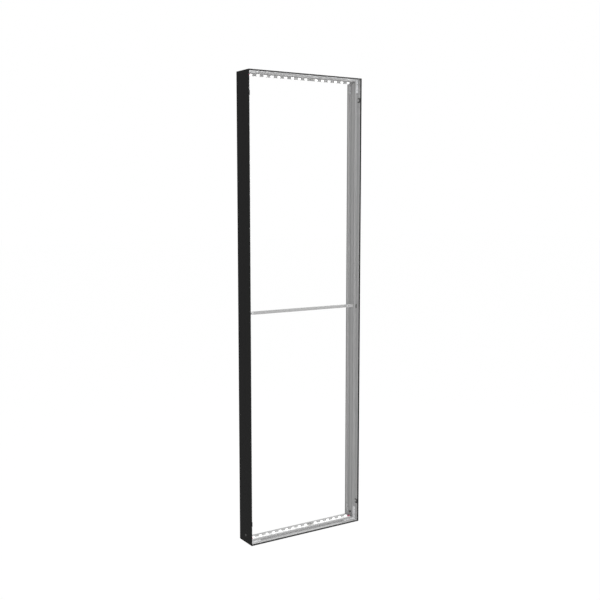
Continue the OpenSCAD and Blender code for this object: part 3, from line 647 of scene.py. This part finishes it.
# %% [markdown]
# ## The parts on the boards
# Behind each lens, its board carries a small resistor, and pairs of tinned pads show where it may
# be cut to length, at every third light. They stand a fraction of a millimetre above the white
# lacquer, and rows of copies make them too.


# %% Resistors and pads
def block(size, bevel):
    """A bmesh block that stands on Z = 0, with its edges rounded off."""
    form = bmesh.new()
    bmesh.ops.create_cube(form, size=1.0)
    bmesh.ops.scale(form, vec=size, verts=form.verts)
    bmesh.ops.translate(form, vec=(0, 0, size[2] / 2), verts=form.verts)
    bmesh.ops.bevel(form, geom=form.edges[:], offset=bevel, segments=2, affect="EDGES")
    return form


RESISTOR = Vector((3.2, 1.6, 0.6)) * MM
RESISTOR_EDGE = 0.1 * MM
RESISTOR_BEHIND = 7 * MM
CAP = Vector((0.6, 1.7, 0.65)) * MM
CAP_EDGE = 0.08 * MM
PAD = Vector((2.4, 3.0, 0.06)) * MM
PAD_EDGE = 0.02 * MM
PAD_SPREAD = 6.5 * MM
CUT_EVERY = 3
resistor = pattern_of("resistor_pattern", block(RESISTOR, RESISTOR_EDGE))
cap = pattern_of("cap_pattern", block(CAP, CAP_EDGE))
pad = pattern_of("pad_pattern", block(PAD, PAD_EDGE))


def board_row(name, row, pattern, finish, count, step, along, across):
    """A row of copies on one board: along from the board's left end, across from its middle."""
    low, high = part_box("led_board_" + row)
    top = row.startswith("top")
    first = Vector((low.x + along, (low.y + high.y) / 2 + across, low.z if top else high.z))
    values = {"Pattern": pattern, "Finish": finish, "Count": count, "First": first,
              "Step": (step, 0, 0), "Facing": (0, 0, -1 if top else 1)}
    keep(name + row, grown(name + row, row_tree, values))


for row, lights in ROWS.items():
    at_lens = PITCH / 2
    board_row("resistors_", row, resistor, ceramic, lights, PITCH, at_lens, RESISTOR_BEHIND)
    cuts = lights // CUT_EVERY - 1
    cut = CUT_EVERY * PITCH
    for side, hand, end in ((-1, "left_", "front_"), (1, "right_", "rear_")):
        at_cap = at_lens + side * (RESISTOR.x - CAP.x) / 2
        board_row("resistor_caps_" + hand, row, cap, tin, lights, PITCH, at_cap, RESISTOR_BEHIND)
        board_row("cut_pads_" + end, row, pad, tin, cuts, cut, cut, side * PAD_SPREAD)
for pattern in (resistor, cap, pad):
    bpy.data.objects.remove(pattern)

# %% [markdown]
# ## The grub screws
# Four grub screws in each corner bracket press it up under the flanges. They face inwards from the
# bars, so their places go into a mesh of loose points that carries the way each one faces, and a
# second tree reads that attribute. The pattern is turned on its axis, with a hexagon let into it.


# %% Screw tree and pattern
screw_tree = tree_with("screws_on_points", {
    "Points": "Geometry", "Pattern": "Object", "Finish": "Material"})
inlet = add(screw_tree, "NodeGroupInput").outputs
way = {"Name": "facing"}
way = add(screw_tree, "GeometryNodeInputNamedAttribute", way, data_type="FLOAT_VECTOR")
copies_on(screw_tree, inlet, inlet["Points"], way.outputs[0])


def circle(radius, height, sides):
    """Points of a level circle."""
    turns = [2 * math.pi * i / sides for i in range(sides)]
    return [(radius * math.cos(turn), radius * math.sin(turn), height) for turn in turns]


def hexagon(flats, height, sides):
    """Points of a level hexagon, spread over as many points as the circles round it."""
    apothem = flats / 2
    points = []
    for i in range(sides):
        turn = 2 * math.pi * i / sides
        lean = (turn + math.pi / 6) % (math.pi / 3) - math.pi / 6
        reach = apothem / math.cos(lean)
        points.append((reach * math.cos(turn), reach * math.sin(turn), height))
    return points


SCREW_RADIUS = 2.5 * MM
SCREW_LENGTH = 3.5 * MM
SCREW_HEX = 2.5 * MM
SCREW_SIDES = 24
CHAMFER = 0.3 * MM
rings = [circle(SCREW_RADIUS - CHAMFER, 0, SCREW_SIDES), circle(SCREW_RADIUS, CHAMFER, SCREW_SIDES),
         circle(SCREW_RADIUS, SCREW_LENGTH - CHAMFER, SCREW_SIDES),
         circle(SCREW_RADIUS - CHAMFER, SCREW_LENGTH, SCREW_SIDES),
         hexagon(SCREW_HEX + CHAMFER, SCREW_LENGTH, SCREW_SIDES),
         hexagon(SCREW_HEX, SCREW_LENGTH - CHAMFER / 2, SCREW_SIDES),
         hexagon(SCREW_HEX, SCREW_LENGTH / 2, SCREW_SIDES)]
screw = pattern_of("grub_screw_pattern", loft(rings))
print("screw faces:", len(screw.data.polygons))

# %% Thirty-two screws
WALL = 2.5 * MM
SCREW_REACH = (30 * MM, 58.5 * MM)
places, ways = [], []
for face in ("front", "rear"):
    low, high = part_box(f"bracket_{face}_bottom_left")
    y = (low.y + high.y) / 2
    for x_side in (-1, 1):
        for z_side in (-1, 1):
            for reach in SCREW_REACH:
                post_z = HALF_HEIGHT + z_side * (HALF_HEIGHT - reach)
                rail_z = HALF_HEIGHT + z_side * (HALF_HEIGHT - WALL)
                places.append((x_side * (HALF_WIDTH - WALL), y, post_z))
                ways.append((-x_side, 0, 0))
                places.append((x_side * (HALF_WIDTH - reach), y, rail_z))
                ways.append((0, 0, -z_side))
points = bpy.data.meshes.new("screw_points")
points.from_pydata(places, [], [])
facing = points.attributes.new("facing", "FLOAT_VECTOR", "POINT")
facing.data.foreach_set("vector", [c for way in ways for c in way])
screws = grown("grub_screw_set", screw_tree, {"Pattern": screw, "Finish": oxide}, seed=points)
keep("grub_screw_set", screws, node="grub_screws", smooth_deg=30)
bpy.data.objects.remove(screw)
print("screws:", len(places), "faces:", len(screws.polygons))

# %% [markdown]
# ## Wires
# Short wires run from the sockets to the plugs on the light bars' ends, and a black lead climbs
# inside the left post to the top bar. A wire is a round section along a path, so each one is a
# curve with a bevel, made a mesh. The path has the same points as the CAD wire: straight out of
# the plug, a smooth bend, and straight into the tag. Black sleeves cover the soldered tags, a thick
# red one the splice by the plug, and a grey one the rest of the red wire.


# %% Wires as tubes
def bend(a, leave, b, arrive, steps):
    """Points of a smooth curve from a to b, with the way it leaves and the way it arrives."""
    points = []
    for i in range(steps + 1):
        t = i / steps
        s = 1 - t
        points.append(s ** 3 * a + 3 * s * s * t * (a + leave) + 3 * s * t * t * (b - arrive) + t ** 3 * b)
    return points


def tube(name, points, diameter, finish, node=None):
    """A round tube along points, with closed ends."""
    curve = bpy.data.curves.new(name + ".path", "CURVE")
    curve.dimensions = "3D"
    curve.bevel_depth = diameter / 2
    curve.bevel_resolution = 4
    curve.use_fill_caps = True
    spline = curve.splines.new("POLY")
    spline.points.add(len(points) - 1)
    spline.points.foreach_set("co", [c for p in points for c in (*p, 1.0)])
    host = bpy.data.objects.new(name + ".path", curve)
    scene.collection.objects.link(host)
    mesh = bpy.data.meshes.new_from_object(host.evaluated_get(bpy.context.evaluated_depsgraph_get()))
    bpy.data.objects.remove(host)
    form = bmesh.new()
    form.from_mesh(mesh)
    mesh = mesh_of(name, form)
    mesh.materials.clear()
    mesh.materials.append(finish)
    keep(name, mesh, node=node, smooth_deg=60)


WIRE = 2 * MM
TAG_SPREAD = 2 * MM
SLEEVE = 3 * MM
SPLICE = 5 * MM
SHROUD = 2.8 * MM
BEND_STEPS = 16
SPLICE_STEPS = 7
TAG_STEPS = 4
LEAN = 8 * MM
PLUG_HEIGHT = 7 * MM
PLUG_BORE = 1.2 * MM
IN_PLUG = PLUG_BORE - FIT
for side, sign in {"left": 1, "right": -1}.items():
    plug_low, plug_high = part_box("wire_plug_bottom_" + side)
    tag_low, tag_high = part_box("power_socket_" + side)
    plug_x = plug_low.x if sign > 0 else plug_high.x
    tag_x = tag_high.x if sign > 0 else tag_low.x
    lean = Vector((-LEAN * sign, 0, 0))
    stub = Vector((-WIRE * sign, 0, 0))
    for row, colour, finish in ((-1, "grey", grey_pvc), (1, "red", red_pvc)):
        y = plug_low.y + (2 + row) * (plug_high.y - plug_low.y) / 4
        start = Vector((plug_x + IN_PLUG * sign, y, plug_low.z + PLUG_HEIGHT / 2))
        stop = Vector((tag_x + FIT * sign, -HALF_DEPTH + row * TAG_SPREAD, SOCKET_HEIGHT))
        route = [start] + bend(start + stub, lean, stop - stub, lean, BEND_STEPS) + [stop]
        name = f"{colour}_{side}"
        tube("lead_" + name, route, WIRE, finish, node="wire_" + name)
        tube("sleeve_" + name, route[-TAG_STEPS:], SLEEVE, black_pvc)
        if colour == "red":
            bared = route[SPLICE_STEPS:-TAG_STEPS]
            tube("splice_" + side, route[1:SPLICE_STEPS], SPLICE, red_pvc)
            tube("shroud_" + side, bared, SHROUD, grey_pvc)

# %% The riser lead
RISER = 4 * MM
SEAT = 12 * MM
SEAT_WALL = 1.8 * MM
FREE = 0.5 * MM
BEND = 1.5 * RISER
RISER_END = 80 * MM
face_x = -HALF_WIDTH + SEAT
behind_x = face_x - SEAT_WALL
duct_x = -HALF_WIDTH + (WALL + SEAT - SEAT_WALL) / 2
out_x = face_x + RISER
low_z, high_z = RISER_END, 2 * HALF_HEIGHT - RISER_END
plug_low, plug_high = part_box("wire_plug_top_left")
start = Vector((-BARREL_END + FIT, -HALF_DEPTH, SOCKET_HEIGHT + RISER / 2 + FREE))
stop = Vector((plug_low.x + IN_PLUG, (plug_low.y + plug_high.y) / 2, plug_high.z - PLUG_HEIGHT / 2))
across = Vector((BEND / 2, 0, 0))
up = Vector((0, 0, BEND / 2))
stub = Vector((WIRE / 2, 0, 0))


def on_post(x, z):
    """A point on the riser's plane, in the middle of the frame's depth."""
    return Vector((x, -HALF_DEPTH, z))


route = [start]
route += bend(start + stub, 2 * across, on_post(out_x, low_z - 1.5 * BEND), 2 * up, BEND_STEPS)
route += bend(on_post(out_x, low_z - BEND), up, on_post(face_x, low_z), -across, BEND_STEPS)
route += bend(on_post(behind_x, low_z), -across, on_post(duct_x, low_z + BEND), up, BEND_STEPS)
route += bend(on_post(duct_x, high_z - BEND), up, on_post(behind_x, high_z), across, BEND_STEPS)
route += bend(on_post(face_x, high_z), across, on_post(out_x, high_z + BEND), up, BEND_STEPS)
route += bend(on_post(out_x, high_z + 1.5 * BEND), 4 * up, stop - stub, 3 * across, BEND_STEPS)
route += [stop]
tube("riser_cable", route, RISER, black_pvc, node="riser_lead")
print("riser length", round(sum((b - a).length for a, b in zip(route, route[1:])), 3), "m")
